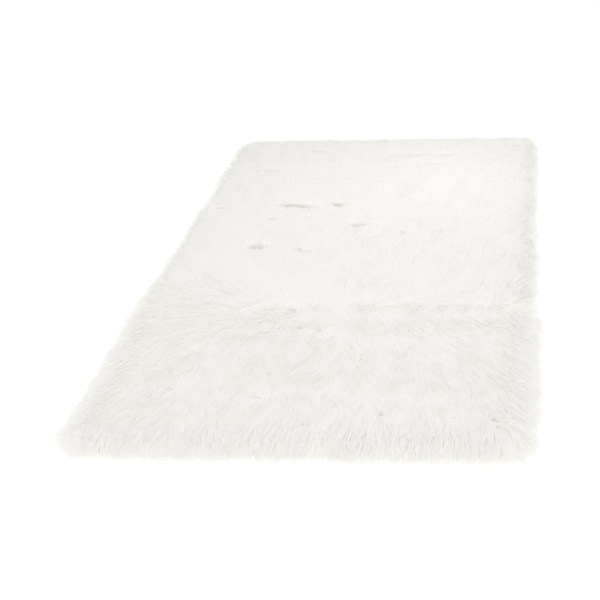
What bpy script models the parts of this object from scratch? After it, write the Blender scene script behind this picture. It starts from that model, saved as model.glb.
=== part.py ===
"""Shag rug: one flat piece of long-pile faux fur lying on the floor.

The rug is a single cloth with its pile, so it is one solid. The solid has the outer shape of the
lying pile: a rectangle with softly rounded corners, an uneven edge where the fibres fall over the
cloth's cut edge to the floor, and a top with low swells and a few soft partings.

Metres, +Z up. The origin is on the floor under the middle of the rug. The length runs along Y.
"""

import math

import bmesh
import bpy

# Driving dimensions, over the pile
RUG_WIDTH = 0.62
RUG_LENGTH = 1.52
PILE_TOP = 0.034  # floor to the top of the lying pile
CORNER_RADIUS = 0.032  # of the plan's corners

# The rounded edge, where the pile falls over to the floor
EDGE_ROLL = 0.034  # how far in from the outline the top starts to round down
WIDEST_HEIGHT = 0.009  # height of the outline, where the pile reaches furthest
FLOOR_TUCK = 0.003  # how far the pile draws back in between there and the floor

# The grid that the top is made from
CELLS_ACROSS = 38
CELLS_ALONG = 88
EDGE_CROWDING = 0.45  # how much the grid lines crowd towards the edges, from 0 to 1

# Where the outline stands out (reach > 0) or draws in (reach < 0). along is the place on that side,
# measured along X for the front and back and along Y for the left and right.
EDGE_FADE = 0.07  # how far into the rug an edge swell is felt
EDGE_SWELLS = (
    # side, along, reach, spread
    ("left", 0.52, -0.0030, 0.075),
    ("left", 0.21, 0.0040, 0.085),
    ("left", -0.03, -0.0015, 0.050),
    ("left", -0.25, -0.0050, 0.055),
    ("left", -0.42, 0.0032, 0.055),
    ("left", -0.65, 0.0028, 0.045),
    ("right", 0.60, 0.0020, 0.060),
    ("right", 0.33, -0.0025, 0.080),
    ("right", 0.02, 0.0022, 0.070),
    ("right", -0.31, -0.0020, 0.060),
    ("right", -0.55, 0.0024, 0.065),
    ("front", -0.20, 0.0020, 0.050),
    ("front", -0.06, -0.0018, 0.045),
    ("front", 0.11, 0.0022, 0.055),
    ("back", -0.17, -0.0020, 0.055),
    ("back", 0.03, 0.0025, 0.060),
    ("back", 0.21, -0.0018, 0.045),
)

# Low swells of the top, where the pile stands fuller or lies flatter
TOP_SWELLS = (
    # x, y, rise, spread
    (-0.17, -0.60, 0.0020, 0.11),
    (0.14, -0.52, -0.0018, 0.12),
    (0.05, -0.20, 0.0024, 0.10),
    (-0.20, -0.14, -0.0016, 0.10),
    (0.20, 0.12, 0.0020, 0.13),
    (-0.08, 0.14, 0.0018, 0.09),
    (-0.18, 0.44, 0.0015, 0.13),
    (0.10, 0.42, -0.0020, 0.12),
    (0.18, 0.66, 0.0016, 0.10),
)

# Partings, where the pile falls away to both sides and leaves a soft trough. heading is in degrees
# from +X.
PARTINGS = (
    # x, y, length, heading, width, depth
    (-0.12, 0.275, 0.12, -12, 0.040, 0.0060),
    (-0.16, 0.030, 0.07, 0, 0.044, 0.0075),
    (0.00, 0.155, 0.09, -4, 0.040, 0.0045),
    (0.09, 0.630, 0.13, -3, 0.040, 0.0040),
    (-0.05, -0.355, 0.18, -8, 0.042, 0.0060),
    (0.07, -0.335, 0.16, -48, 0.042, 0.0045),
    (-0.02, -0.570, 0.15, -10, 0.044, 0.0050),
    (-0.22, -0.480, 0.12, 55, 0.042, 0.0045),
    (0.20, -0.410, 0.16, -38, 0.042, 0.0035),
)

# Principled BSDF values of the pile
PILE_COLOUR = (0.888, 0.879, 0.847, 1.0)
PILE_ROUGHNESS = 0.75
PILE_SHEEN = 0.35


def clear_scene():
    for obj in list(bpy.data.objects):
        bpy.data.objects.remove(obj, do_unlink=True)


def bell(distance, spread):
    """A smooth bump, 1 at no distance and near 0 beyond two spreads."""
    return math.exp(-((distance / spread) ** 2))


def crowded(share):
    """Moves a grid line, at -1 to 1 across the rug, towards the nearer edge."""
    return (1 - EDGE_CROWDING) * share + EDGE_CROWDING * math.sin(share * math.pi / 2)


def round_corner(x, y):
    """Takes a point of the plain rectangle to the one with rounded corners."""
    corner_x = RUG_WIDTH / 2 - CORNER_RADIUS
    corner_y = RUG_LENGTH / 2 - CORNER_RADIUS
    a = (abs(x) - corner_x) / CORNER_RADIUS
    b = (abs(y) - corner_y) / CORNER_RADIUS
    if a <= 0 or b <= 0:
        return x, y
    inner_a = a * math.sqrt(1 - b * b / 2)
    inner_b = b * math.sqrt(1 - a * a / 2)
    return (
        math.copysign(corner_x + inner_a * CORNER_RADIUS, x),
        math.copysign(corner_y + inner_b * CORNER_RADIUS, y),
    )


def depth_inside(x, y):
    """Distance from a point inside the rounded rectangle to its outline."""
    a = abs(x) - (RUG_WIDTH / 2 - CORNER_RADIUS)
    b = abs(y) - (RUG_LENGTH / 2 - CORNER_RADIUS)
    outside = math.hypot(max(a, 0), max(b, 0)) + min(max(a, b), 0)
    return max(CORNER_RADIUS - outside, 0)


def edge_swell(side, along, inward):
    """How far the pile stands out at a place on one side, fading inwards from the outline."""
    total = 0
    for swell_side, swell_along, reach, spread in EDGE_SWELLS:
        if swell_side == side:
            total += reach * bell(along - swell_along, spread)
    return total * max(1 - inward / EDGE_FADE, 0)


def uneven(x, y):
    """Moves a plan point out or in with the swells of the side or sides that it is near."""
    inward_x = RUG_WIDTH / 2 - abs(x)
    inward_y = RUG_LENGTH / 2 - abs(y)
    out_x = edge_swell("right" if x > 0 else "left", y, inward_x)
    out_y = edge_swell("back" if y > 0 else "front", x, inward_y)
    return x + math.copysign(out_x, x), y + math.copysign(out_y, y)


def parting_depth(x, y):
    """How far the partings lower the top at a point."""
    total = 0
    for px, py, length, heading, width, depth in PARTINGS:
        turn = math.radians(heading)
        along = (x - px) * math.cos(turn) + (y - py) * math.sin(turn)
        across = (y - py) * math.cos(turn) - (x - px) * math.sin(turn)
        total += depth * bell(across, width / 2) * bell(along, length / 2)
    return total


def top_height(x, y):
    """Height of the pile's top above the floor at a point of the plain, rounded plan."""
    full = PILE_TOP - parting_depth(x, y)
    for sx, sy, rise, spread in TOP_SWELLS:
        full += rise * bell(math.hypot(x - sx, y - sy), spread)
    rolled = 1 - min(depth_inside(x, y) / EDGE_ROLL, 1)
    return WIDEST_HEIGHT + (full - WIDEST_HEIGHT) * math.sqrt(1 - rolled * rolled)


def shape_top(mesh):
    """Takes a flat grid, from -1 to 1 both ways, to the uneven top of the pile."""
    for vertex in mesh.verts:
        x, y = round_corner(
            crowded(vertex.co.x) * RUG_WIDTH / 2,
            crowded(vertex.co.y) * RUG_LENGTH / 2,
        )
        height = top_height(x, y)
        x, y = uneven(x, y)
        vertex.co = (x, y, height)


def close_to_floor(mesh):
    """Brings the outline down to the floor, drawn in a little, and closes the underside flat."""
    rim = [edge for edge in mesh.edges if edge.is_boundary]
    made = bmesh.ops.extrude_edge_only(mesh, edges=rim)["geom"]
    foot = [item for item in made if isinstance(item, bmesh.types.BMVert)]
    shrink_x = 1 - 2 * FLOOR_TUCK / RUG_WIDTH
    shrink_y = 1 - 2 * FLOOR_TUCK / RUG_LENGTH
    for vertex in foot:
        vertex.co = (vertex.co.x * shrink_x, vertex.co.y * shrink_y, 0)
    bmesh.ops.holes_fill(mesh, edges=[edge for edge in mesh.edges if edge.is_boundary])
    bmesh.ops.recalc_face_normals(mesh, faces=mesh.faces)


def centre_on_origin(mesh):
    """Puts the middle of the plan over the origin, because the swells differ from side to side."""
    for axis in range(2):
        places = [vertex.co[axis] for vertex in mesh.verts]
        middle = (min(places) + max(places)) / 2
        for vertex in mesh.verts:
            vertex.co[axis] -= middle


def pile_material():
    material = bpy.data.materials.new("faux_fur_pile")
    material.use_nodes = True
    shader = material.node_tree.nodes["Principled BSDF"]
    shader.inputs["Base Color"].default_value = PILE_COLOUR
    shader.inputs["Metallic"].default_value = 0
    shader.inputs["Roughness"].default_value = PILE_ROUGHNESS
    shader.inputs["Sheen Weight"].default_value = PILE_SHEEN
    return material


def build_rug(collection):
    mesh = bmesh.new()
    bmesh.ops.create_grid(mesh, x_segments=CELLS_ACROSS, y_segments=CELLS_ALONG, size=1)
    shape_top(mesh)
    close_to_floor(mesh)
    centre_on_origin(mesh)
    data = bpy.data.meshes.new("shag_rug")
    mesh.to_mesh(data)
    mesh.free()
    data.shade_smooth()
    data.materials.append(pile_material())
    rug = bpy.data.objects.new("shag_rug", data)
    collection.objects.link(rug)
    return rug


def main():
    clear_scene()
    collection = bpy.data.collections.new("Shag rug")
    bpy.context.scene.collection.children.link(collection)
    build_rug(collection)


main()
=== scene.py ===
"""Looks of a small shag rug: long-pile, off-white faux fur on a knitted ground cloth, on the floor.

The rug is built the way a faux fur is made. A knitted ground cloth carries a dense, short underfur,
and out of it grow locks of silky fibre and longer guard hairs. The fibres lean over, lie on each
other like shingles, part here and there, and fall over the cut edge of the cloth to the floor.

Metres, +Z up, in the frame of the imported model.
"""

import math

import bmesh
import bpy
import numpy as np
from mathutils import Matrix, Vector, kdtree, noise
from mathutils.bvhtree import BVHTree


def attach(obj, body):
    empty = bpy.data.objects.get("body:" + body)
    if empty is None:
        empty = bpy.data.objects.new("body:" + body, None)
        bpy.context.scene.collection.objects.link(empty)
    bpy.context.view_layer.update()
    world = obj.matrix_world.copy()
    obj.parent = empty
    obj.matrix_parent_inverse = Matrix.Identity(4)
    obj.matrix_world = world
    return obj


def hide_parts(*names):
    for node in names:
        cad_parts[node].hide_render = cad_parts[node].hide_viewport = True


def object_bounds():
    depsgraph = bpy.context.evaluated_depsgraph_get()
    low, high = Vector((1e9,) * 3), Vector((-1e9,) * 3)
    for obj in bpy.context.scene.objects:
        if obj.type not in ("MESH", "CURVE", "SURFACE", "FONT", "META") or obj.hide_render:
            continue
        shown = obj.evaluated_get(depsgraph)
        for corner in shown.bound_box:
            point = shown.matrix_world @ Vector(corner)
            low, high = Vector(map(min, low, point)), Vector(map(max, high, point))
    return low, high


bl_info = {
    "name": "Shag rug",
    "version": (1, 0, 0),
    "blender": (4, 5, 0),
    "location": "3D View > Sidebar > Rug",
    "description": "Builds a long-pile faux-fur rug: cloth, underfur, locks, fringe and guard hairs",
    "category": "Object",
}

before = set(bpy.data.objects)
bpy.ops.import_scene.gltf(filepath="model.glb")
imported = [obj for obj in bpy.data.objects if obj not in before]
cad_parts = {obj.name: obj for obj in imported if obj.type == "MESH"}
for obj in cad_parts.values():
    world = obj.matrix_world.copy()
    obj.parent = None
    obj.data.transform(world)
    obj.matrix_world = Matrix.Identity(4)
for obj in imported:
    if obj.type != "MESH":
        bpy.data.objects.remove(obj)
CAD_LOW, CAD_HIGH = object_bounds()
RUG_NODE = "shag_rug"
RUG_BODY = "root"
OUTLINE_HEIGHT = 0.009  # height at which the lying pile reaches furthest out
PILE_TOP = 0.034  # height of the lying pile where it is level
TROUGHS_KEPT = 0.3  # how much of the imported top's swells and troughs the underfur shows

CLOTH_CORNER = 0.014  # radius of the ground cloth's corners
CLOTH_CELLS = (24, 56)  # across and along the rug
UNDERFUR_CORNER = 0.024  # radius of the underfur's corners
UNDERFUR_CELLS = (80, 196)  # across and along the rug
OUTLINE_FOLLOWED = 0.07  # how far in from its edge the underfur still follows the pile's outline
PAINTED_LIGHT_BELT = (0.030, 0.060)  # how far in from the outline the underfur's rim, painted paler as painted light, starts and stops fading

SMALL_GAP = 0.0003  # kept between surfaces that would otherwise share a place

FLATNESS = 0.6  # a fibre's thickness as a share of its width
EDGE_BLEND = 0.012  # half the width of the belt in which the fringe gives way to the locks
FRINGE_REACH = 0.050  # how far in from the outline the edge fringe's roots go
# Y at which the strips of each layer begin and end, so that no piece is too heavy
LOCK_STRIPS = (-1.0, -0.28, 0.22, 1.0)
FRINGE_STRIPS = (-1.0, 0.0, 1.0)
GUARD_HAIR_STRIPS = (-1.0, -0.12, 1.0)


# The surface that the lying pile reaches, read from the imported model


def rug_copy():
    """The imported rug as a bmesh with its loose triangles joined."""
    mesh = bmesh.new()
    mesh.from_mesh(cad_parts[RUG_NODE].data)
    bmesh.ops.remove_doubles(mesh, verts=mesh.verts, dist=0.00001)
    return mesh


def read_outline(mesh, step=0.004):
    """Points all round the rug where the pile reaches furthest, a step apart."""
    ring = [v.co.copy() for v in mesh.verts if abs(v.co.z - OUTLINE_HEIGHT) < 0.0002]
    ring.sort(key=lambda p: math.atan2(p.y * CAD_HIGH.x, p.x * CAD_HIGH.y))
    points = []
    for here, after in zip(ring, ring[1:] + ring[:1]):
        count = max(1, round((after - here).length / step))
        points += [here.lerp(after, i / count) for i in range(count)]
    return points


class PileShape:
    """Where the top and the outline of the lying pile are."""

    def __init__(self):
        mesh = rug_copy()
        self.tree = BVHTree.FromBMesh(mesh)
        self.outline = read_outline(mesh)
        mesh.free()
        self.near = kdtree.KDTree(len(self.outline))
        for index, point in enumerate(self.outline):
            self.near.insert((point.x, point.y, 0), index)
        self.near.balance()

    def top(self, x, y):
        """Height of the top of the pile over a point of the floor."""
        hit = self.tree.ray_cast(Vector((x, y, 1)), Vector((0, 0, -1)))[0]
        return hit.z if hit else OUTLINE_HEIGHT

    def edge(self, x, y):
        """Distance from a point inside the rug to its outline, and the way there."""
        place = Vector((x, y, 0))
        near = self.near.find(place)[0]
        gap = (near - place).length
        return gap, (near - place) / max(gap, 0.000001)


SHAPE = PileShape()
HALF_WIDTH = (CAD_HIGH.x - CAD_LOW.x) / 2
HALF_LENGTH = (CAD_HIGH.y - CAD_LOW.y) / 2


# Small helpers


def linear(code):
    """A colour given as sRGB hex, such as #F4F2EC, as linear red, green, blue and alpha."""
    shares = [int(code[i : i + 2], 16) / 255 for i in (1, 3, 5)]
    return (*[s / 12.92 if s <= 0.04045 else ((s + 0.055) / 1.055) ** 2.4 for s in shares], 1.0)


def ease(values, low, high):
    """0 below low, 1 above high and a smooth step in between."""
    share = np.clip((values - low) / (high - low), 0, 1)
    return share * share * (3 - 2 * share)


def bell(values, spread):
    """1 at 0, falling smoothly to near 0 at two spreads."""
    return np.exp(-((values / spread) ** 2))


def drift(places, size, seed):
    """A smooth random vector at each place, with lumps of about that size, the same each run."""
    noise.seed_set(seed)
    return np.array([noise.noise_vector(Vector(p) / size) for p in places])


def new_object(name, data):
    obj = bpy.data.objects.new(name, data)
    bpy.context.scene.collection.objects.link(obj)
    return obj


def round_corner(x, y, half_x, half_y, radius):
    """Takes a point of a plain rectangle to the one with rounded corners."""
    a = (abs(x) - (half_x - radius)) / radius
    b = (abs(y) - (half_y - radius)) / radius
    if a <= 0 or b <= 0:
        return x, y
    return (
        math.copysign(half_x - radius + a * math.sqrt(1 - b * b / 2) * radius, x),
        math.copysign(half_y - radius + b * math.sqrt(1 - a * a / 2) * radius, y),
    )


def add_node(tree, kind, inputs=None, **settings):
    """Adds a node, sets its properties and fills its inputs from values or sockets."""
    node = tree.nodes.new(kind)
    for name, value in settings.items():
        setattr(node, name, value)
    for key, value in (inputs or {}).items():
        if isinstance(value, bpy.types.NodeSocket):
            tree.links.new(value, node.inputs[key])
        else:
            node.inputs[key].default_value = value
    return node


# Settings


class RugSettings(bpy.types.PropertyGroup):
    """Sizes of the rug's layers."""

    cloth_tuck: bpy.props.FloatProperty(
        name="Cloth tuck",
        description="How far the ground cloth's cut edge lies inside the edge of the underfur",
        default=0.016,
        unit="LENGTH",
    )
    cloth_thickness: bpy.props.FloatProperty(
        name="Cloth thickness",
        description="Thickness of the knitted ground cloth",
        default=0.002,
        unit="LENGTH",
    )
    side_inset: bpy.props.FloatProperty(
        name="Underfur inset at the sides",
        description="How far the dense underfur lies inside the outline of the pile along the rug",
        default=0.018,
        unit="LENGTH",
    )
    end_inset: bpy.props.FloatProperty(
        name="Underfur inset at the ends",
        description="How far the dense underfur lies inside the outline of the pile across the rug",
        default=0.005,
        unit="LENGTH",
    )
    underfur_share: bpy.props.FloatProperty(
        name="Underfur height",
        description="Height of the dense underfur as a share of the lying pile's height",
        default=0.90,
        subtype="FACTOR",
    )
    fibre_length: bpy.props.FloatProperty(
        name="Fibre length",
        description="Length of a fibre outside the underfur, away from the edge",
        default=0.045,
        unit="LENGTH",
    )
    edge_fibre_length: bpy.props.FloatProperty(
        name="Edge fibre length",
        description="Length of a fibre outside the underfur, at the rug's edge",
        default=0.036,
        unit="LENGTH",
    )


class StageSettings(bpy.types.PropertyGroup):
    """Camera and light."""

    camera_place: bpy.props.FloatVectorProperty(
        name="Camera place",
        description="Where the camera stands",
        default=(0.314, -2.755, 0.914),
        unit="LENGTH",
    )
    camera_turn: bpy.props.FloatProperty(
        name="Camera turn",
        description="Angle to the left of +Y",
        default=math.radians(8.29),
        unit="ROTATION",
    )
    camera_drop: bpy.props.FloatProperty(
        name="Camera drop",
        description="Angle below the horizon",
        default=math.radians(19.14),
        unit="ROTATION",
    )
    camera_roll: bpy.props.FloatProperty(
        name="Camera roll",
        description="Roll about the line of sight",
        default=math.radians(-2.83),
        unit="ROTATION",
    )
    lens: bpy.props.FloatProperty(
        name="Lens", description="Focal length in millimetres on a 36 mm sensor", default=105.7
    )
    sky_strength: bpy.props.FloatProperty(
        name="Sky strength", description="Brightness of the white studio dome", default=0.828
    )
    key_power: bpy.props.FloatProperty(
        name="Key power", description="Power of the soft lamp, in watts", default=0.40
    )


def rug_settings():
    return bpy.context.scene.shag_rug


def cloth_half_size():
    """Half the ground cloth's width and half its length."""
    settings = rug_settings()
    return (
        HALF_WIDTH - settings.side_inset - settings.cloth_tuck,
        HALF_LENGTH - settings.end_inset - settings.cloth_tuck,
    )


def stage_settings():
    return bpy.context.scene.shag_rug_stage


# How the fibres lie


# Slits, where the pile stands open down to its base. heading is in degrees from +X.
SLITS = (
    # x, y, length, heading, width, depth
    (-0.136, 0.283, 0.032, -4, 0.011, 0.020),
    (-0.102, 0.270, 0.030, -30, 0.012, 0.016),
    (-0.050, 0.283, 0.022, -8, 0.012, 0.020),
    (-0.262, 0.268, 0.026, 0, 0.011, 0.009),
    (-0.156, 0.195, 0.024, 0, 0.010, 0.008),
    (-0.160, 0.036, 0.024, -12, 0.020, 0.013),
    (-0.090, 0.018, 0.010, 0, 0.012, 0.009),
    (-0.068, 0.004, 0.020, -20, 0.012, 0.006),
    (0.000, 0.156, 0.034, -4, 0.014, 0.012),
    (0.079, 0.105, 0.010, 0, 0.014, 0.010),
    (0.060, 0.631, 0.050, -3, 0.011, 0.008),
    (0.130, 0.628, 0.040, 0, 0.009, 0.006),
    (0.100, 0.560, 0.060, 0, 0.009, 0.005),
    (-0.130, 0.665, 0.030, -4, 0.013, 0.008),
    (-0.205, 0.520, 0.060, 4, 0.012, 0.004),
    (0.265, 0.692, 0.014, 0, 0.011, 0.009),
    (0.297, 0.101, 0.020, 0, 0.011, 0.009),
    (-0.090, -0.279, 0.022, 10, 0.005, 0.003),
    (-0.062, -0.281, 0.018, 0, 0.005, 0.003),
    (-0.075, -0.354, 0.022, 0, 0.006, 0.0025),
    (-0.040, -0.353, 0.012, -40, 0.007, 0.003),
    (-0.010, -0.362, 0.022, -25, 0.006, 0.0025),
    (-0.060, -0.624, 0.018, 8, 0.007, 0.0025),
    (0.108, -0.674, 0.014, -60, 0.007, 0.0035),
    (0.252, -0.690, 0.020, -62, 0.005, 0.0035),
    (-0.181, -0.597, 0.016, 12, 0.008, 0.002),
    (-0.267, -0.634, 0.016, 12, 0.008, 0.002),
)
PAINTED_SHADE_DEPTH = 0.015  # from this depth on a slit's base is painted dark in full, as painted shade
SLIT_NEAR = 0.02  # a place where a slit is less open than this is left as it is
SLIT_MARGIN = (0.012, 0.026)  # how far in from the outline a slit starts, and where it's open in full

# Terraces, where the locks above hang over the pile below and end in a row. heading is in degrees
# from +X.
TERRACES = (
    # x, y, length, heading, drop
    (0.02, -0.272, 0.30, 3, 0.0007),
    (0.23, -0.275, 0.16, -4, 0.0009),
    (-0.02, -0.362, 0.22, -8, 0.0007),
    (0.19, -0.372, 0.20, -14, 0.0005),
    (-0.19, -0.350, 0.14, 20, 0.0006),
    (-0.04, -0.575, 0.16, 14, 0.0009),
    (0.14, -0.590, 0.26, -2, 0.0008),
    (-0.22, -0.560, 0.14, 16, 0.0006),
    (0.05, 0.630, 0.20, -2, 0.0008),
    (-0.16, 0.500, 0.18, 3, 0.0008),
    (-0.05, 0.275, 0.20, -2, 0.0008),
)
TERRACE_RUN = 0.020  # how far a terrace's brow stands from its foot

UNDERFUR_ROLL = 0.024  # how far in from its outline the underfur starts to round down
UNDERFUR_RIM = 0.006  # height at which the underfur reaches furthest out
FAR_FULLNESS = 0.005  # how much further out the underfur's sides stand behind the crease
CREASE = -0.262  # Y at which the pile parts, to lie towards the near end and the far end
CREASE_WIDTH = 0.016  # how far from the crease some fibres cross it
SWEEP = 0.75  # how far the pile turns to the rug's left side, at the left end of the crease
SWEEP_SPREAD = 0.14  # how far before and behind the crease it does so
SWEEP_AT_EDGE = 0.5  # the share of that turn that is left at the outline
EDGE_PULL = 0.045  # how far in from the outline the pile turns outwards

# How fibres lean, in degrees from upright
LEAN = 76  # on level underfur
LEAN_LEAST = 68
LEAN_MOST = 98
LEAN_MORE_AT_ENDS = 40  # how much further they may lean at the rug's ends
TURN_OVER = 26  # how much further a fibre leans at its tip than at its root
TIP_MOST = 116
DRAPED_TIP = 104  # at the tip of a fibre that falls over an end
DRAPED_TIP_MORE = 42  # how much more that is right at the outline
LEAST_BEND = 4


def along_and_across(x, y, row):
    """Where places lie along and across a row of a table, whose heading is its fourth value."""
    turn = math.radians(row[3])
    dx = x - row[0]
    dy = y - row[1]
    return dx * math.cos(turn) + dy * math.sin(turn), dy * math.cos(turn) - dx * math.sin(turn)


def slits_at(x, y):
    """How open the slits are at each place, from 0 to 1, and how deep."""
    open_share = np.zeros(len(x))
    depth = np.zeros(len(x))
    for row in SLITS:
        along, across = along_and_across(x, y, row)
        share = bell(along, 0.62 * row[2]) * bell(across, 0.5 * row[4])
        open_share = np.maximum(open_share, share)
        depth = np.maximum(depth, row[5] * share)
    return open_share, depth


def room_before_slits(x, y, lies_away, reach):
    """The share of its length that each fibre keeps, so that it doesn't fall across a slit."""
    keep = np.ones(len(x))
    for row in SLITS:
        along, across = along_and_across(x, y, row)
        ahead = np.where(lies_away, -across, across)
        near = bell(along, 0.62 * row[2]) * (ahead > 0)
        room = (ahead - 0.4 * row[4]) / (1.2 * reach)
        keep = np.minimum(keep, 1 - near * (1 - np.clip(room, 0.15, 1)))
    return keep


def terraces_at(x, y):
    """How much the terraces raise or lower the underfur at each place."""
    rise = np.zeros(len(x))
    for row in TERRACES:
        along, across = along_and_across(x, y, row)
        across += 0.006 * np.sin(along / 0.011 + row[0] * 90)
        step = bell(across - TERRACE_RUN, TERRACE_RUN) - bell(across + TERRACE_RUN, TERRACE_RUN)
        rise += row[4] * bell(along, 0.6 * row[2]) * step
    return rise


def lie_of_the_pile(places, normals):
    """Which way the fibres at each place on the underfur lie, how they lean, and their length."""
    settings = rug_settings()
    x, y = places.T[:2]
    edges = [SHAPE.edge(*p[:2]) for p in places]
    gap = np.array([e[0] for e in edges])
    way_out = np.array([e[1][:2] for e in edges])
    wander = drift(places, 0.13, 1)
    swirl = drift(places, 0.040, 2)

    crease = CREASE + 0.020 * wander[:, 2] + 0.040 * drift(places, 0.022, 5)[:, 0]
    lies_away = y > crease
    fan = 0.05 + 0.15 * x / HALF_WIDTH + 0.35 * bell(y + 0.36, 0.07) * ease(x, 0.02, 0.20)
    lay = np.stack((fan, np.where(lies_away, 1.0, -1.0)), axis=1)
    lay[:, 0] += 0.16 * wander[:, 0] + 0.10 * swirl[:, 0]
    swept = SWEEP * ease(-x, 0.0, 0.22) * bell(y - CREASE, SWEEP_SPREAD)
    swept *= SWEEP_AT_EDGE + (1 - SWEEP_AT_EDGE) * ease(gap, 0.02, 0.08)
    lay = lay * (1 - swept)[:, None] - np.column_stack((swept, np.zeros(len(x))))
    turned = np.where(lies_away, 0.45 - 0.15 * ease(x, 0, 0.2), 0.65)
    turned += (0.9 - turned) * bell(y - crease, 0.035)
    outwards = (turned * bell(gap, EDGE_PULL))[:, None]
    lay = lay * (1 - outwards) + 1.1 * outwards * way_out
    lay /= np.maximum(np.linalg.norm(lay, axis=1), 0.05)[:, None]

    downhill = np.arcsin(np.clip((normals[:, :2] * lay).sum(axis=1), -1, 1))
    inner = ease(gap, 0.006, 0.055)
    sideways = np.abs(way_out[:, 0])
    longer = settings.fibre_length - settings.edge_fibre_length
    shortest = settings.edge_fibre_length + longer * sideways
    length = shortest + (settings.fibre_length - shortest) * inner
    in_full = ease(gap, *SLIT_MARGIN)
    open_share = slits_at(x, y)[0] * in_full
    keep = 1 - (1 - room_before_slits(x, y, lies_away, settings.fibre_length)) * in_full
    at_end = ease(np.abs(way_out[:, 1]), 0.3, 0.8)
    lean = np.clip(LEAN + np.degrees(downhill), LEAN_LEAST, LEAN_MOST + LEAN_MORE_AT_ENDS * at_end)
    at_edge = 1 - ease(gap, 0.010, 0.060)
    drape = at_edge * np.where(way_out[:, 1] < 0, 1.0, 0.5) * at_end
    draped = DRAPED_TIP + DRAPED_TIP_MORE * at_edge
    final = np.minimum(lean + TURN_OVER, TIP_MOST) * (1 - drape) + draped * drape
    final = np.maximum(final, lean + LEAST_BEND)
    bend = np.radians(final - lean)
    sinking = (np.sin(np.radians(lean)) - np.sin(np.radians(final))) / bend
    to_floor = places[:, 2] / np.maximum(sinking, 0.05)
    at_slits = np.clip(1 - 1.5 * open_share, 0.02, 1)
    at_sides = 1 - 0.5 * sideways * (1 - ease(gap, 0.018, 0.038))
    return {
        "lay": np.column_stack((lay, np.zeros(len(lay)))),
        "lean": np.radians(lean),
        "bend": bend,
        "fibre": np.minimum(length * keep, to_floor),
        "thin": at_slits * at_sides,
        "calm": (0.25 + 0.65 * at_end) * (1 - ease(gap, 0.035, 0.10)),
        "cross": 0.5 * bell(y - crease, CREASE_WIDTH),
        "gap": gap,
    }


# Materials


def pile_material(name, root_code, tip_code, roughness):
    """Modacrylic fur fibre: drawn, silky, dull white with a soft sheen, creamier at the root."""
    material = bpy.data.materials.new(name)
    material.use_nodes = True
    tree = material.node_tree
    shader = tree.nodes["Principled BSDF"]
    along = add_node(tree, "ShaderNodeAttribute", attribute_name="along")
    tone = add_node(tree, "ShaderNodeAttribute", attribute_name="tone")
    fade = add_node(
        tree, "ShaderNodeMapRange", {"Value": along.outputs["Fac"], "From Min": 0.05, "From Max": 0.55}
    )
    colour = add_node(
        tree,
        "ShaderNodeMix",
        {"Factor": fade.outputs["Result"], 6: linear(root_code), 7: linear(tip_code)},
        data_type="RGBA",
    )
    shade = add_node(
        tree, "ShaderNodeMapRange", {"Value": tone.outputs["Fac"], "To Min": 0.994, "To Max": 1.0}
    )
    mixed = add_node(
        tree,
        "ShaderNodeMix",
        {"Factor": 1.0, 6: colour.outputs[2], 7: shade.outputs["Result"]},
        data_type="RGBA",
        blend_type="MULTIPLY",
    )
    tree.links.new(mixed.outputs[2], shader.inputs["Base Color"])
    drawn = add_node(
        tree,
        "ShaderNodeMapRange",
        {"Value": tone.outputs["Fac"], "To Min": roughness - 0.07, "To Max": roughness + 0.07},
    )
    tree.links.new(drawn.outputs["Result"], shader.inputs["Roughness"])
    shader.inputs["IOR"].default_value = 1.52
    shader.inputs["Specular IOR Level"].default_value = 0.3
    shader.inputs["Sheen Weight"].default_value = 0.15
    shader.inputs["Sheen Roughness"].default_value = 0.5
    return material


def underfur_material():
    """The dense, short underfur: matt, cream, with a fine mottle of tufts as bump."""
    material = bpy.data.materials.new("Modacrylic underfur")
    material.use_nodes = True
    tree = material.node_tree
    shader = tree.nodes["Principled BSDF"]
    place = add_node(tree, "ShaderNodeTexCoord")
    tufts = add_node(
        tree, "ShaderNodeTexNoise", {"Vector": place.outputs["Object"], "Scale": 400.0, "Detail": 3.0}
    )
    # The underfur is painted a few shades darker and creamier than the fibres: partly its own colour,
    # partly painted shade for the depth of the pile
    colour = add_node(
        tree,
        "ShaderNodeMix",
        {"Factor": tufts.outputs["Fac"], 6: linear("#F0EFE8"), 7: linear("#F6F5F0")},
        data_type="RGBA",
    )
    # Painted light: the underfur is painted paler near the outline, to lift the shade among the edge
    # fibres
    rim = add_node(tree, "ShaderNodeAttribute", attribute_name="rim")
    colour = add_node(
        tree,
        "ShaderNodeMix",
        {"Factor": rim.outputs["Fac"], 6: colour.outputs[2], 7: linear("#FCFCF9")},
        data_type="RGBA",
    )
    # Painted shade: the underfur is painted a dark olive at the slits' bases, darker than the ground
    # cloth and more so where a slit is deeper
    opened = add_node(tree, "ShaderNodeAttribute", attribute_name="painted_slit_shade")
    shown = add_node(
        tree,
        "ShaderNodeMix",
        {"Factor": opened.outputs["Fac"], 6: colour.outputs[2], 7: linear("#A39D84")},
        data_type="RGBA",
    )
    tree.links.new(shown.outputs[2], shader.inputs["Base Color"])
    bump = add_node(
        tree, "ShaderNodeBump", {"Height": tufts.outputs["Fac"], "Strength": 0.6, "Distance": 0.001}
    )
    tree.links.new(bump.outputs["Normal"], shader.inputs["Normal"])
    shader.inputs["Roughness"].default_value = 0.9
    return material


WALE_WIDTH = 0.0014
WAVES_PER_UNIT = 20  # a wave texture's scale counts these


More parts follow.
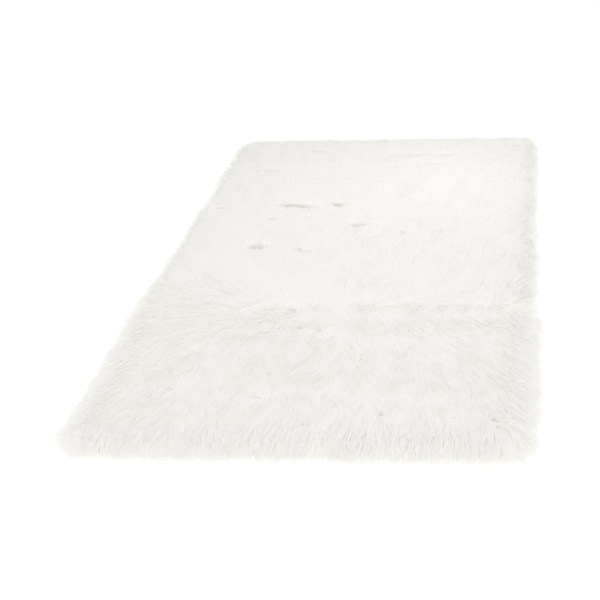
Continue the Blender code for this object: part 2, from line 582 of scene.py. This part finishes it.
def cloth_material():
    """Warp-knitted polyester ground cloth: matt, with fine wales 1.4 mm apart along the rug."""
    material = bpy.data.materials.new("Knitted polyester ground cloth")
    material.use_nodes = True
    tree = material.node_tree
    shader = tree.nodes["Principled BSDF"]
    place = add_node(tree, "ShaderNodeTexCoord")
    wales = add_node(
        tree,
        "ShaderNodeTexWave",
        {
            "Vector": place.outputs["Object"],
            "Scale": 1 / (WALE_WIDTH * WAVES_PER_UNIT),
            "Distortion": 0.6,
            "Detail": 1.0,
        },
        bands_direction="X",
    )
    colour = add_node(
        tree,
        "ShaderNodeMix",
        {"Factor": wales.outputs["Fac"], 6: linear("#D9D6CB"), 7: linear("#ECEAE2")},
        data_type="RGBA",
    )
    tree.links.new(colour.outputs[2], shader.inputs["Base Color"])
    bump = add_node(
        tree, "ShaderNodeBump", {"Height": wales.outputs["Fac"], "Strength": 0.5, "Distance": 0.0004}
    )
    tree.links.new(bump.outputs["Normal"], shader.inputs["Normal"])
    shader.inputs["Roughness"].default_value = 0.85
    return material


# The fibre tree: fibres that grow from a surface, lean, bend, draw together into locks and taper


MEAN_SHARE = 0.95  # length of a fibre in calm pile as a share of the full length
LEAN_SPREAD = 0.06  # how much neighbouring fibres' leans differ, in radians
RIPPLE_STRETCH = (0.35, 1.0, 1.0)  # ripples are longer across the rug
RIPPLE_SCALE = 45.0
RIPPLE_LEAN = 0.13  # how much a ripple changes the lean, in radians
SWAY_SCALE = 28.0
SWAY_REACH = 0.05  # how far the tips sway to the side
TAPER = 1.4
FLOOR_SPREAD = 0.001  # how much higher than a small gap over the floor some fibres rest

INPUTS = (
    # name, socket type, default
    ("Fibres per m2", "NodeSocketFloat", 50000.0),
    ("Seed", "NodeSocketInt", 0),
    ("From", "NodeSocketFloat", -1.0),
    ("To", "NodeSocketFloat", 1.0),
    ("Edge from", "NodeSocketFloat", 0.0),
    ("Edge to", "NodeSocketFloat", 1.0),
    ("Steps", "NodeSocketInt", 2),
    ("Width", "NodeSocketFloat", 0.002),
    ("Length share", "NodeSocketFloat", 1.0),
    ("Shortest", "NodeSocketFloat", 0.8),
    ("Longest", "NodeSocketFloat", 1.06),
    ("Lift", "NodeSocketFloat", 0.0),
    ("Stray", "NodeSocketFloat", 0.2),
    ("Lock size", "NodeSocketFloat", 0.015),
    ("Lock pull", "NodeSocketFloat", 0.5),
    ("Material", "NodeSocketMaterial", None),
)


def math_node(tree, operation, *values):
    return add_node(tree, "ShaderNodeMath", dict(enumerate(values)), operation=operation).outputs[0]


def vector_node(tree, operation, *values, **named):
    inputs = {**dict(enumerate(values)), **named}
    node = add_node(tree, "ShaderNodeVectorMath", inputs, operation=operation)
    return node.outputs["Value" if operation == "DOT_PRODUCT" else "Vector"]


def read(tree, name, kind="FLOAT"):
    node = add_node(tree, "GeometryNodeInputNamedAttribute", {"Name": name}, data_type=kind)
    return node.outputs["Attribute"]


def store(tree, geometry, name, value, kind="FLOAT", domain="POINT"):
    node = add_node(
        tree,
        "GeometryNodeStoreNamedAttribute",
        {"Geometry": geometry, "Name": name, "Value": value},
        data_type=kind,
        domain=domain,
    )
    return node.outputs["Geometry"]


def random_between(tree, low, high, seed, step):
    shifted = math_node(tree, "ADD", seed, float(step))
    inputs = {2: low, 3: high, "Seed": shifted}
    return add_node(tree, "FunctionNodeRandomValue", inputs, data_type="FLOAT").outputs[1]


def side_of_face(tree, place):
    """-1 and 1 at the two sides of each of the cone's faces, and 0 at the tip."""
    middle = add_node(
        tree, "GeometryNodeFieldOnDomain", {"Value": place}, data_type="FLOAT_VECTOR", domain="FACE"
    ).outputs[0]
    corner = add_node(tree, "ShaderNodeSeparateXYZ", {0: place}).outputs
    face = add_node(tree, "ShaderNodeSeparateXYZ", {0: middle}).outputs
    turn = math_node(
        tree,
        "SUBTRACT",
        math_node(tree, "ARCTAN2", corner["Y"], corner["X"]),
        math_node(tree, "ARCTAN2", face["Y"], face["X"]),
    )
    radius = math_node(
        tree,
        "ADD",
        math_node(tree, "MULTIPLY", corner["X"], corner["X"]),
        math_node(tree, "MULTIPLY", corner["Y"], corner["Y"]),
    )
    side = math_node(tree, "SIGN", math_node(tree, "WRAP", turn, math.pi, -math.pi))
    return math_node(tree, "MULTIPLY", side, math_node(tree, "GREATER_THAN", radius, 0.0001))


def fibre_tree():
    """The Geometry Nodes tree that grows the fibres, with the inputs above."""
    tree = bpy.data.node_groups.new("Fibres", "GeometryNodeTree")
    tree.interface.new_socket("Geometry", in_out="INPUT", socket_type="NodeSocketGeometry")
    for name, kind, value in INPUTS:
        socket = tree.interface.new_socket(name, in_out="INPUT", socket_type=kind)
        if value is not None:
            socket.default_value = value
    tree.interface.new_socket("Geometry", in_out="OUTPUT", socket_type="NodeSocketGeometry")
    given = add_node(tree, "NodeGroupInput").outputs
    seed = given["Seed"]

    # Roots, evenly spread over the underfur, thinner where the pile is parted
    points = add_node(
        tree,
        "GeometryNodeDistributePointsOnFaces",
        {
            "Mesh": given["Geometry"],
            "Distance Min": 0.0,
            "Density Max": given["Fibres per m2"],
            "Density Factor": read(tree, "thin"),
            "Seed": seed,
        },
        distribute_method="POISSON",
    ).outputs["Points"]
    place = add_node(tree, "GeometryNodeInputPosition").outputs[0]
    place_y = add_node(tree, "ShaderNodeSeparateXYZ", {0: place}).outputs["Y"]
    blend = random_between(tree, -EDGE_BLEND, EDGE_BLEND, seed, 6)
    gap = math_node(tree, "ADD", read(tree, "gap"), blend)
    outside = math_node(
        tree,
        "MAXIMUM",
        math_node(
            tree,
            "MAXIMUM",
            math_node(tree, "LESS_THAN", place_y, given["From"]),
            math_node(tree, "GREATER_THAN", place_y, given["To"]),
        ),
        math_node(
            tree,
            "MAXIMUM",
            math_node(tree, "LESS_THAN", gap, given["Edge from"]),
            math_node(tree, "GREATER_THAN", gap, given["Edge to"]),
        ),
    )
    points = add_node(
        tree, "GeometryNodeDeleteGeometry", {"Geometry": points, "Selection": outside}, domain="POINT"
    ).outputs[0]

    # Each fibre's own differences
    least = math_node(tree, "MULTIPLY", given["Stray"], -1.0)
    stray = random_between(tree, least, given["Stray"], seed, 1)
    wild = math_node(tree, "SUBTRACT", 1.0, read(tree, "calm"))
    stray = math_node(tree, "MULTIPLY", stray, wild)
    crosses = math_node(tree, "LESS_THAN", random_between(tree, 0.0, 1.0, seed, 5), read(tree, "cross"))
    stray = math_node(tree, "ADD", stray, math_node(tree, "MULTIPLY", crosses, math.pi))
    lay = add_node(
        tree,
        "ShaderNodeVectorRotate",
        {"Vector": vector_node(tree, "NORMALIZE", read(tree, "lay", "FLOAT_VECTOR")), "Angle": stray},
        rotation_type="Z_AXIS",
    ).outputs[0]
    points = store(tree, points, "lay", lay, "FLOAT_VECTOR")
    points = store(tree, points, "root", place, "FLOAT_VECTOR")
    points = store(tree, points, "tone", random_between(tree, 0.0, 1.0, seed, 2))
    unequal = random_between(tree, given["Shortest"], given["Longest"], seed, 3)
    unequal = math_node(tree, "SUBTRACT", unequal, MEAN_SHARE)
    share = math_node(tree, "MULTIPLY_ADD", unequal, wild, MEAN_SHARE)
    length = math_node(tree, "MULTIPLY", read(tree, "fibre"), share)
    points = store(tree, points, "fibre", math_node(tree, "MULTIPLY", length, given["Length share"]))
    rows = vector_node(tree, "MULTIPLY", place, RIPPLE_STRETCH)
    ripple = add_node(
        tree,
        "ShaderNodeTexNoise",
        {"Vector": rows, "Scale": RIPPLE_SCALE, "Detail": 1.0},
        noise_dimensions="3D",
    )
    uneven = math_node(tree, "SUBTRACT", ripple.outputs["Fac"], 0.5)
    uneven = math_node(tree, "MULTIPLY", uneven, RIPPLE_LEAN)
    uneven = math_node(tree, "MULTIPLY", uneven, wild)
    own = random_between(tree, -LEAN_SPREAD, LEAN_SPREAD, seed, 4)
    own = math_node(tree, "SUBTRACT", own, given["Lift"])
    lean = math_node(tree, "ADD", math_node(tree, "ADD", read(tree, "lean"), uneven), own)
    points = store(tree, points, "lean", lean)
    sway = add_node(
        tree,
        "ShaderNodeTexNoise",
        {"Vector": place, "Scale": SWAY_SCALE, "Detail": 1.0},
        noise_dimensions="3D",
    )
    sideways = math_node(tree, "SUBTRACT", sway.outputs["Fac"], 0.5)
    sideways = math_node(tree, "MULTIPLY", sideways, SWAY_REACH)
    points = store(tree, points, "sway", sideways)
    cells = add_node(
        tree,
        "ShaderNodeTexVoronoi",
        {"Vector": place, "Scale": math_node(tree, "DIVIDE", 1.0, given["Lock size"])},
        voronoi_dimensions="2D",
    ).outputs["Position"]
    pull = vector_node(tree, "MULTIPLY", vector_node(tree, "SUBTRACT", cells, place), (1.0, 1.0, 0.0))
    points = store(
        tree,
        points,
        "pull",
        vector_node(tree, "SCALE", pull, Scale=given["Lock pull"]),
        "FLOAT_VECTOR",
    )

    # One fibre is a three-sided cone, upright, one unit long and one unit in radius
    cone = add_node(
        tree,
        "GeometryNodeMeshCone",
        {
            "Vertices": 3,
            "Side Segments": given["Steps"],
            "Fill Segments": 1,
            "Radius Top": 0.0,
            "Radius Bottom": 1.0,
            "Depth": 1.0,
        },
        fill_type="NGON",
    ).outputs["Mesh"]
    cone = store(tree, cone, "unit", place, "FLOAT_VECTOR")
    cone = store(tree, cone, "side", side_of_face(tree, place), domain="CORNER")
    fibres = add_node(tree, "GeometryNodeInstanceOnPoints", {"Points": points, "Instance": cone})
    fibres = add_node(tree, "GeometryNodeRealizeInstances", {"Geometry": fibres.outputs[0]}).outputs[0]

    # Bend it: an arc that starts at its lean from upright and turns over towards the way it lies
    section = add_node(tree, "ShaderNodeSeparateXYZ", {0: read(tree, "unit", "FLOAT_VECTOR")}).outputs
    along = section["Z"]
    bend = math_node(tree, "MAXIMUM", read(tree, "bend"), 0.05)
    lean = read(tree, "lean")
    angle = math_node(tree, "ADD", lean, math_node(tree, "MULTIPLY", bend, along))
    radius = math_node(tree, "DIVIDE", read(tree, "fibre"), bend)
    out = math_node(
        tree,
        "MULTIPLY",
        radius,
        math_node(tree, "SUBTRACT", math_node(tree, "COSINE", lean), math_node(tree, "COSINE", angle)),
    )
    up = math_node(
        tree,
        "MULTIPLY",
        radius,
        math_node(tree, "SUBTRACT", math_node(tree, "SINE", angle), math_node(tree, "SINE", lean)),
    )
    lay = read(tree, "lay", "FLOAT_VECTOR")
    side = vector_node(tree, "CROSS_PRODUCT", lay, (0.0, 0.0, 1.0))
    square = math_node(tree, "MULTIPLY", along, along)
    reached = vector_node(tree, "SCALE", lay, Scale=out)
    spine = vector_node(tree, "ADD", read(tree, "root", "FLOAT_VECTOR"), reached)
    spine = vector_node(
        tree, "ADD", spine, vector_node(tree, "SCALE", read(tree, "pull", "FLOAT_VECTOR"), Scale=square)
    )
    swayed = math_node(tree, "MULTIPLY", read(tree, "sway"), square)
    spine = vector_node(tree, "ADD", spine, vector_node(tree, "SCALE", side, Scale=swayed))
    raised = add_node(tree, "ShaderNodeCombineXYZ", {"Z": up}).outputs[0]
    spine = vector_node(tree, "ADD", spine, raised)

    # Taper it: full for most of its length, drawn out to a point
    taper = math_node(tree, "ADD", 1.0, math_node(tree, "MULTIPLY", along, TAPER))
    half = math_node(tree, "MULTIPLY", math_node(tree, "MULTIPLY", given["Width"], 0.55), taper)
    across = math_node(tree, "MULTIPLY", section["Y"], half)
    through = math_node(tree, "MULTIPLY", section["X"], math_node(tree, "MULTIPLY", half, -FLATNESS))
    back = math_node(tree, "MULTIPLY", math_node(tree, "COSINE", angle), -1.0)
    over = vector_node(
        tree,
        "ADD",
        vector_node(tree, "SCALE", lay, Scale=back),
        add_node(tree, "ShaderNodeCombineXYZ", {"Z": math_node(tree, "SINE", angle)}).outputs[0],
    )
    skin = vector_node(tree, "ADD", spine, vector_node(tree, "SCALE", side, Scale=across))
    skin = vector_node(tree, "ADD", skin, vector_node(tree, "SCALE", over, Scale=through))
    parts = add_node(tree, "ShaderNodeSeparateXYZ", {0: skin}).outputs
    spread = math_node(tree, "MULTIPLY", read(tree, "tone"), FLOOR_SPREAD)
    floor = math_node(tree, "ADD", SMALL_GAP, spread)
    rested = add_node(
        tree,
        "ShaderNodeCombineXYZ",
        {"X": parts["X"], "Y": parts["Y"], "Z": math_node(tree, "MAXIMUM", parts["Z"], floor)},
    ).outputs[0]
    fibres = add_node(tree, "GeometryNodeSetPosition", {"Geometry": fibres, "Position": rested})
    fibres = store(tree, fibres.outputs[0], "along", along)
    column = math_node(tree, "MULTIPLY_ADD", read(tree, "tone"), 0.96, 0.02)
    column = math_node(tree, "MULTIPLY_ADD", read(tree, "side"), 0.015, column)
    row = math_node(tree, "MULTIPLY_ADD", along, 0.98, 0.01)
    spot = add_node(tree, "ShaderNodeCombineXYZ", {"X": column, "Y": row}).outputs[0]
    fibres = store(tree, fibres, "OFBake", spot, "FLOAT2", "CORNER")
    fibres = add_node(
        tree, "GeometryNodeSetShadeSmooth", {"Geometry": fibres, "Shade Smooth": False}, domain="FACE"
    ).outputs[0]
    fibres = add_node(
        tree, "GeometryNodeSetMaterial", {"Geometry": fibres, "Material": given["Material"]}
    ).outputs[0]
    add_node(tree, "NodeGroupOutput", {"Geometry": fibres})
    return tree


def grow(name, bed, values):
    """Runs the fibre tree on a copy of the bed with these inputs, and returns one mesh object."""
    tree = bpy.data.node_groups.get("Fibres") or fibre_tree()
    carrier = new_object("carrier", bed.data.copy())
    modifier = carrier.modifiers.new("Fibres", "NODES")
    modifier.node_group = tree
    for item in tree.interface.items_tree:
        if item.in_out == "INPUT" and item.name in values:
            modifier[item.identifier] = values[item.name]
    graph = bpy.context.evaluated_depsgraph_get()
    data = bpy.data.meshes.new_from_object(carrier.evaluated_get(graph))
    bpy.data.objects.remove(carrier)
    for attribute in [a.name for a in data.attributes if not a.is_required and not a.is_internal]:
        if attribute not in ("along", "tone", "OFBake", "material_index", "sharp_face"):
            data.attributes.remove(data.attributes[attribute])
    data.name = name
    return new_object(name, data)


def settle(piece):
    """Puts a finished piece on the rug's body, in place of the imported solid."""
    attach(piece, RUG_BODY)
    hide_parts(RUG_NODE)


# Ground cloth and underfur


def flat_patch(half_x, half_y, radius, cells_x, cells_y):
    """A flat bmesh with rounded corners, centred on the origin."""
    mesh = bmesh.new()
    bmesh.ops.create_grid(mesh, x_segments=cells_x, y_segments=cells_y, size=1)
    for vertex in mesh.verts:
        x, y = round_corner(vertex.co.x * half_x, vertex.co.y * half_y, half_x, half_y, radius)
        vertex.co = (x, y, 0)
    return mesh


def depth_inside(x, y, half_x, half_y, radius):
    """Distance from a point inside a rounded rectangle to its outline."""
    a = abs(x) - (half_x - radius)
    b = abs(y) - (half_y - radius)
    outside = math.hypot(max(a, 0), max(b, 0)) + min(max(a, b), 0)
    return max(radius - outside, 0)


def faces_in_order(mesh):
    """The faces of a bmesh as lists of vertex numbers, in an order that is the same each run."""
    mesh.verts.index_update()
    faces = []
    for face in mesh.faces:
        corners = [v.index for v in face.verts]
        first = corners.index(min(corners))
        faces.append(corners[first:] + corners[:first])
    return sorted(faces)


class RUG_OT_ground_cloth(bpy.types.Operator):
    """Makes the thin knitted cloth that carries the pile"""

    bl_idname = "shag_rug.ground_cloth"
    bl_label = "Ground cloth"

    def execute(self, context):
        settings = rug_settings()
        half_x, half_y = cloth_half_size()
        mesh = flat_patch(half_x, half_y, CLOTH_CORNER, *CLOTH_CELLS)
        data = bpy.data.meshes.new("ground_cloth")
        mesh.to_mesh(data)
        mesh.free()
        data.materials.append(cloth_material())
        cloth = new_object("ground_cloth", data)
        wall = cloth.modifiers.new("Thickness", "SOLIDIFY")
        wall.thickness = settings.cloth_thickness
        wall.offset = 1
        settle(cloth)
        return {"FINISHED"}


class RUG_OT_underfur(bpy.types.Operator):
    """Makes the dense, short underfur that the fibres grow out of"""

    bl_idname = "shag_rug.underfur"
    bl_label = "Underfur"

    def execute(self, context):
        settings = rug_settings()
        half_x = HALF_WIDTH - settings.side_inset
        half_y = HALF_LENGTH - settings.end_inset
        mesh = flat_patch(half_x, half_y, UNDERFUR_CORNER, *UNDERFUR_CELLS)
        middles = np.array([f.calc_center_median() for f in mesh.faces])
        opened = slits_at(*middles.T[:2])[0] > SLIT_NEAR
        for face, is_open in zip(mesh.faces, opened):
            face.tag = bool(is_open)
        near_slits = [e for e in mesh.edges if any(f.tag for f in e.link_faces)]
        bmesh.ops.subdivide_edges(mesh, edges=near_slits, cuts=2, use_grid_fill=True)
        flat = np.array([v.co for v in mesh.verts])
        depth = slits_at(*flat.T[:2])[1]
        terrace = terraces_at(*flat.T[:2])
        for vertex, slit, step in zip(mesh.verts, depth, terrace):
            inward = depth_inside(vertex.co.x, vertex.co.y, half_x, half_y, UNDERFUR_CORNER)
            gap, way_out = SHAPE.edge(*vertex.co.xy)
            inset = settings.side_inset * abs(way_out.x) + settings.end_inset * (1 - abs(way_out.x))
            inset -= FAR_FULLNESS * abs(way_out.x) * ease(vertex.co.y, CREASE, CREASE + 0.1)
            vertex.co += way_out * (gap - inset - inward) * max(1 - inward / OUTLINE_FOLLOWED, 0)
            inner = vertex.co - way_out * max(UNDERFUR_ROLL + inset - gap, 0)
            level = TROUGHS_KEPT * SHAPE.top(inner.x, inner.y) + (1 - TROUGHS_KEPT) * PILE_TOP
            full = settings.underfur_share * level + step
            rolled = 1 - min(inward / UNDERFUR_ROLL, 1)
            height = UNDERFUR_RIM + (full - UNDERFUR_RIM) * math.sqrt(1 - rolled * rolled)
            vertex.co.z = max(height - slit, min(height, UNDERFUR_RIM))
        rim = [e for e in mesh.edges if e.is_boundary]
        made = bmesh.ops.extrude_edge_only(mesh, edges=rim)["geom"]
        for vertex in [v for v in made if isinstance(v, bmesh.types.BMVert)]:
            vertex.co.x *= 1 - settings.cloth_tuck / HALF_WIDTH
            vertex.co.y *= 1 - settings.cloth_tuck / HALF_LENGTH
            vertex.co.z = settings.cloth_thickness + SMALL_GAP
        bmesh.ops.holes_fill(mesh, edges=[e for e in mesh.edges if e.is_boundary])
        bmesh.ops.recalc_face_normals(mesh, faces=mesh.faces)
        data = bpy.data.meshes.new("underfur")
        data.from_pydata([v.co for v in mesh.verts], [], faces_in_order(mesh))
        mesh.free()
        places = np.zeros(len(data.vertices) * 3)
        data.vertices.foreach_get("co", places)
        places = places.reshape(-1, 3)
        gaps = np.array([SHAPE.edge(*p[:2])[0] for p in places])
        # Painted shade in the slits, darker where a slit is deeper
        opened = np.minimum(slits_at(*places.T[:2])[1] / PAINTED_SHADE_DEPTH, 1) * ease(gaps, *SLIT_MARGIN)
        for name, values in (("painted_slit_shade", opened), ("rim", 1 - ease(gaps, *PAINTED_LIGHT_BELT))):
            attribute = data.attributes.new(name, "FLOAT", "POINT")
            attribute.data.foreach_set("value", values.astype(np.float32))
        data.shade_smooth()
        data.materials.append(underfur_material())
        underfur = new_object("underfur", data)
        settle(underfur)
        return {"FINISHED"}


def bed_of(underfur):
    """The underfur's upper side with what the fibres need to know at each of its points."""
    mesh = bmesh.new()
    mesh.from_mesh(underfur.data)
    bottom = [f for f in mesh.faces if f.normal.z < -0.5]
    bmesh.ops.delete(mesh, geom=bottom, context="FACES_ONLY")
    data = bpy.data.meshes.new("bed")
    mesh.to_mesh(data)
    mesh.free()
    places = np.zeros(len(data.vertices) * 3)
    data.vertices.foreach_get("co", places)
    places = places.reshape(-1, 3)
    normals = np.zeros(len(places) * 3)
    data.vertex_normals.foreach_get("vector", normals)
    facts = lie_of_the_pile(places, normals.reshape(-1, 3))
    for name, values in facts.items():
        kind = "FLOAT_VECTOR" if values.ndim == 2 else "FLOAT"
        attribute = data.attributes.new(name, kind, "POINT")
        field = "vector" if values.ndim == 2 else "value"
        attribute.data.foreach_set(field, values.astype(np.float32).ravel())
    return new_object("bed", data)


class RUG_OT_locks(bpy.types.Operator):
    """Grows the locks of fibre that cover the rug, in strips across it"""

    bl_idname = "shag_rug.locks"
    bl_label = "Locks"

    def execute(self, context):
        bed = bpy.data.objects["bed"]
        material = pile_material("Modacrylic fur locks", "#FCFCFA", "#FDFDFB", 0.62)
        for number, (low, high) in enumerate(zip(LOCK_STRIPS, LOCK_STRIPS[1:]), start=1):
            values = {
                "Fibres per m2": 125000.0,
                "Seed": 11,
                "From": low,
                "To": high,
                "Edge from": FRINGE_REACH,
                "Steps": 1,
                "Width": 0.0018,
                "Stray": 0.14,
                "Lock size": 0.016,
                "Lock pull": 0.32,
                "Material": material,
            }
            settle(grow(f"locks_{number}", bed, values))
        return {"FINISHED"}


class RUG_OT_fringe(bpy.types.Operator):
    """Grows the fibres at the edge, which fall over the cut cloth to the floor"""

    bl_idname = "shag_rug.fringe"
    bl_label = "Edge fringe"

    def execute(self, context):
        bed = bpy.data.objects["bed"]
        # Painted light: the fringe is painted a shade paler than the locks, most at its roots, to lift
        # the shade between the edge fibres
        material = pile_material("Modacrylic fur fringe", "#FDFDF9", "#FDFDFC", 0.62)
        for number, (low, high) in enumerate(zip(FRINGE_STRIPS, FRINGE_STRIPS[1:]), start=1):
            values = {
                "Fibres per m2": 212000.0,
                "Seed": 23,
                "From": low,
                "To": high,
                "Edge to": FRINGE_REACH,
                "Steps": 2,
                "Width": 0.0012,
                "Shortest": 0.35,
                "Longest": 1.2,
                "Stray": 0.3,
                "Lock size": 0.014,
                "Lock pull": 0.08,
                "Material": material,
            }
            settle(grow(f"fringe_{number}", bed, values))
        return {"FINISHED"}


class RUG_OT_guard_hairs(bpy.types.Operator):
    """Grows the longer, finer guard hairs that lie over the locks"""

    bl_idname = "shag_rug.guard_hairs"
    bl_label = "Guard hairs"

    def execute(self, context):
        bed = bpy.data.objects["bed"]
        material = pile_material("Modacrylic guard hairs", "#FCFCFA", "#FDFDFB", 0.5)
        strips = zip(GUARD_HAIR_STRIPS, GUARD_HAIR_STRIPS[1:])
        for number, (low, high) in enumerate(strips, start=1):
            values = {
                "Fibres per m2": 18000.0,
                "Seed": 37,
                "From": low,
                "To": high,
                "Steps": 2,
                "Width": 0.0011,
                "Length share": 1.1,
                "Shortest": 0.7,
                "Longest": 1.15,
                "Lift": 0.03,
                "Stray": 0.2,
                "Lock size": 0.022,
                "Lock pull": 0.35,
                "Material": material,
            }
            settle(grow(f"guard_hairs_{number}", bed, values))
        bpy.data.objects.remove(bed)
        return {"FINISHED"}


FLOOR_HALF = 12
KEY_SIZE = 0.35
KEY_PLACE = (0.19, 0.43, 0.50)
FILL_SIZE = 0.9
FILL_PLACE = (-0.03, -0.5, 0.9)
FILL_POWER = 1.3  # in watts
SKY_TOWARDS = (-0.03, -0.11, 0.0)  # how much the dome brightens in each direction
SKY_ASIDE = (0.08, 0.0, 0.0)  # how much it brightens towards both sides
LIGHT_BOUNCES = 40  # light passes through white pile many times


def soft_lamp(name, power, size, place):
    data = bpy.data.lights.new(name, "AREA")
    data.energy = power
    data.size = size
    lamp = new_object(name, data)
    lamp.location = place


class RUG_OT_stage(bpy.types.Operator):
    """Sets up the floor, the light and the camera"""

    bl_idname = "shag_rug.stage"
    bl_label = "Stage"

    def execute(self, context):
        settings = stage_settings()
        scene = context.scene
        mesh = bmesh.new()
        bmesh.ops.create_grid(mesh, x_segments=1, y_segments=1, size=FLOOR_HALF)
        data = bpy.data.meshes.new("floor")
        mesh.to_mesh(data)
        mesh.free()
        paper = bpy.data.materials.new("White seamless paper")
        paper.use_nodes = True
        shader = paper.node_tree.nodes["Principled BSDF"]
        shader.inputs["Base Color"].default_value = linear("#FAFAFA")
        shader.inputs["Roughness"].default_value = 0.9
        shader.inputs["Specular IOR Level"].default_value = 0.1
        shader.inputs["Emission Color"].default_value = (1, 1, 1, 1)
        shader.inputs["Emission Strength"].default_value = 0.2
        data.materials.append(paper)
        floor = new_object("floor", data)
        floor.location.z = -SMALL_GAP

        world = bpy.data.worlds.new("Studio dome")
        world.use_nodes = True
        tree = world.node_tree
        sky = tree.nodes["Background"]
        sky.inputs["Color"].default_value = linear("#FFFEFF")
        direction = add_node(tree, "ShaderNodeTexCoord").outputs["Generated"]
        nearer = vector_node(tree, "DOT_PRODUCT", direction, SKY_TOWARDS)
        aside = vector_node(tree, "DOT_PRODUCT", vector_node(tree, "ABSOLUTE", direction), SKY_ASIDE)
        strength = math_node(tree, "ADD", settings.sky_strength, math_node(tree, "ADD", nearer, aside))
        tree.links.new(strength, sky.inputs["Strength"])
        scene.world = world
        soft_lamp("key", settings.key_power, KEY_SIZE, KEY_PLACE)
        soft_lamp("fill", FILL_POWER, FILL_SIZE, FILL_PLACE)

        camera_data = bpy.data.cameras.new("camera")
        camera_data.sensor_width = 36
        camera_data.lens = settings.lens
        camera_data.clip_end = 60
        camera = new_object("camera", camera_data)
        camera.matrix_world = (
            Matrix.Translation(settings.camera_place)
            @ Matrix.Rotation(settings.camera_turn, 4, "Z")
            @ Matrix.Rotation(math.pi / 2 - settings.camera_drop, 4, "X")
            @ Matrix.Rotation(settings.camera_roll, 4, "Z")
        )
        scene.camera = camera
        scene.view_settings.view_transform = "Standard"
        scene.cycles.max_bounces = LIGHT_BOUNCES
        scene.cycles.diffuse_bounces = LIGHT_BOUNCES
        return {"FINISHED"}


class RUG_PT_panel(bpy.types.Panel):
    """Lists the rug's pieces"""

    bl_idname = "RUG_PT_panel"
    bl_label = "Shag rug"
    bl_space_type = "VIEW_3D"
    bl_region_type = "UI"
    bl_category = "Rug"

    def draw(self, context):
        for settings in (context.scene.shag_rug, context.scene.shag_rug_stage):
            for name in settings.__annotations__:
                self.layout.prop(settings, name)
        for operator in OPERATORS:
            self.layout.operator(operator.bl_idname)


OPERATORS = (
    RUG_OT_ground_cloth,
    RUG_OT_underfur,
    RUG_OT_locks,
    RUG_OT_fringe,
    RUG_OT_guard_hairs,
    RUG_OT_stage,
)
CLASSES = (RugSettings, StageSettings, *OPERATORS, RUG_PT_panel)


def register():
    for item in CLASSES:
        bpy.utils.register_class(item)
    bpy.types.Scene.shag_rug = bpy.props.PointerProperty(type=RugSettings)
    bpy.types.Scene.shag_rug_stage = bpy.props.PointerProperty(type=StageSettings)


def unregister():
    del bpy.types.Scene.shag_rug_stage
    del bpy.types.Scene.shag_rug
    for item in reversed(CLASSES):
        bpy.utils.unregister_class(item)


def main():
    register()
    bpy.ops.shag_rug.ground_cloth()
    bpy.ops.shag_rug.underfur()
    bed_of(bpy.data.objects["underfur"])
    bpy.ops.shag_rug.locks()
    bpy.ops.shag_rug.fringe()
    bpy.ops.shag_rug.guard_hairs()
    bpy.ops.shag_rug.stage()


if __name__ == "__main__":
    main()
